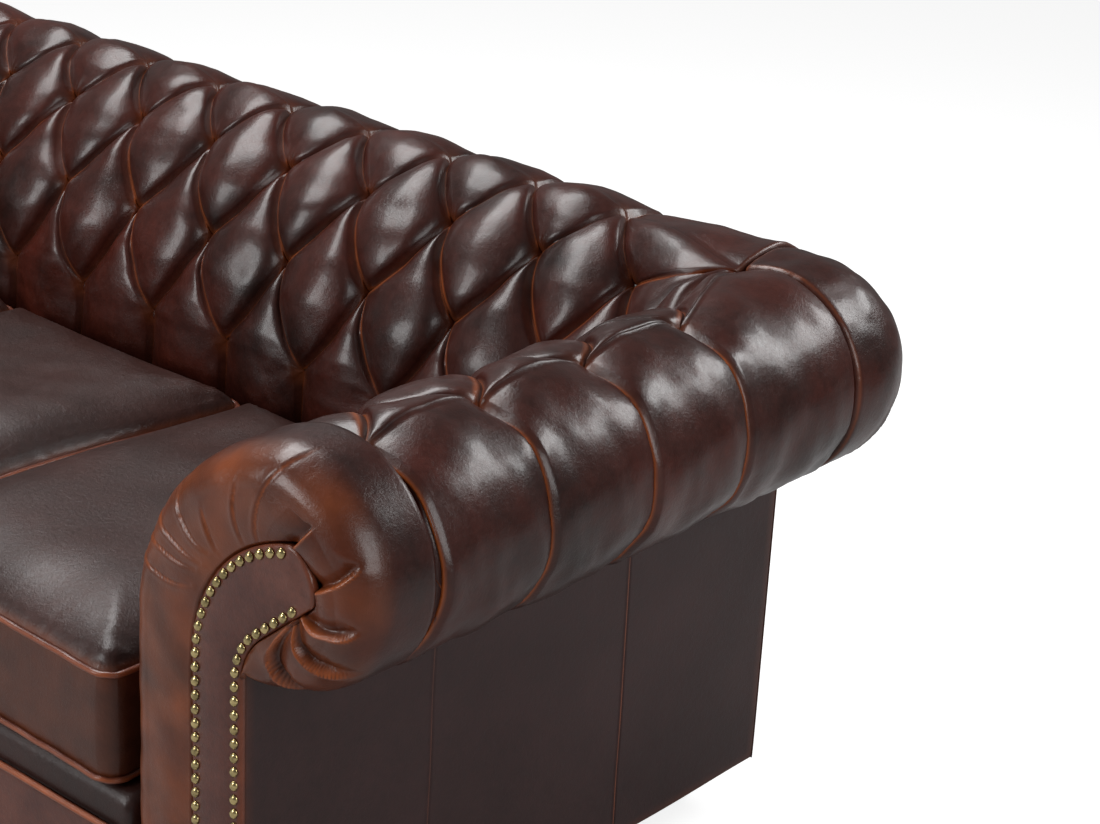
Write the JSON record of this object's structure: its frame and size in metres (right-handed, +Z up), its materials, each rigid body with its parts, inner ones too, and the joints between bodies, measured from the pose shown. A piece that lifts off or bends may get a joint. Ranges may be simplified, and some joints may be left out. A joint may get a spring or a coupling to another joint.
{
  "type": "chesterfield sofa",
  "caption": "Low-back chesterfield sofa in dark red-brown leather with deep-buttoned rolled arms and back, nailed scroll facings and loose seat cushions.",
  "frame": {"origin": "on the floor, at the centre of the bounding box's bottom", "axes": "+X along the seat towards the arm on the right as seen from the front, +Y from the front to the back, +Z up"},
  "size_m": [2.1188, 0.962, 0.7495],
  "materials": {
    "leather": "polished antique pull-up leather",
    "cushion_leather": "foam cushion covered in polished leather",
    "brass_nails": "antiqued",
    "frame_timber": "sawn beech",
    "bent_plywood": "birch plywood",
    "foot_timber": "dark stained and polished",
    "webbing": "woven jute",
    "black_cloth": "matte",
    "steel": "zinc plated",
    "glide_plastic": "moulded"
  },
  "bodies": {
    "sofa": {"front_seat_rail": "frame_timber", "rear_seat_rail": "frame_timber", "side_rail_left": "frame_timber", "side_rail_right": "frame_timber", "seat_strut_left": "frame_timber", "seat_strut_right": "frame_timber", "corner_blocks": "frame_timber", "arm_front_post_left": "frame_timber", "arm_front_post_right": "frame_timber", "arm_rear_post_left": "frame_timber", "arm_rear_post_right": "frame_timber", "back_post_left": "frame_timber", "back_post_right": "frame_timber", "back_upright_left": "frame_timber", "back_upright_right": "frame_timber", "arm_inner_rail_left": "frame_timber", "arm_inner_rail_right": "frame_timber", "arm_outer_rail_left": "frame_timber", "arm_outer_rail_right": "frame_timber", "back_inner_rail": "frame_timber", "back_outer_rail": "frame_timber", "arm_roll_former_left": "bent_plywood", "arm_roll_former_right": "bent_plywood", "back_roll_former": "bent_plywood", "seat_straps": "webbing", "cross_straps": "webbing", "back_webbing": "webbing", "arm_webbing": "webbing", "seat_deck": "leather", "tufted_back": "leather", "tufted_arm_right": "leather", "tufted_arm_left": "leather", "back_buttons": "leather", "arm_buttons": "leather", "corner_roll_left": "leather", "corner_roll_right": "leather", "arm_front_left": "leather", "arm_front_right": "leather", "facing_left": "leather", "facing_right": "leather", "outside_arm_left": "leather", "outside_arm_right": "leather", "outside_back": "leather", "front_border": "leather", "border_piping": "leather", "facing_nails_right": "brass_nails", "facing_nails_left": "brass_nails", "dust_cover": "black_cloth", "foot_front_left": "foot_timber", "foot_front_right": "foot_timber", "foot_rear_left": "foot_timber", "foot_rear_right": "foot_timber", "foot_bolts": "steel", "foot_glides": "glide_plastic"},
    "cushion_left": {"seat_cushion_left": "cushion_leather", "cushion_piping_left": "leather"},
    "cushion_middle": {"seat_cushion_middle": "cushion_leather", "cushion_piping_middle": "leather"},
    "cushion_right": {"seat_cushion_right": "cushion_leather", "cushion_piping_right": "leather"}
  },
  "joints": [
    {"name": "lift_left_cushion", "type": "slide", "parent": "sofa", "child": "cushion_left", "axis": [0, 0, 1], "range_m": [0, 0.3]},
    {"name": "lift_middle_cushion", "type": "slide", "parent": "sofa", "child": "cushion_middle", "axis": [0, 0, 1], "range_m": [0, 0.3]},
    {"name": "lift_right_cushion", "type": "slide", "parent": "sofa", "child": "cushion_right", "axis": [0, 0, 1], "range_m": [0, 0.3]}
  ]
}
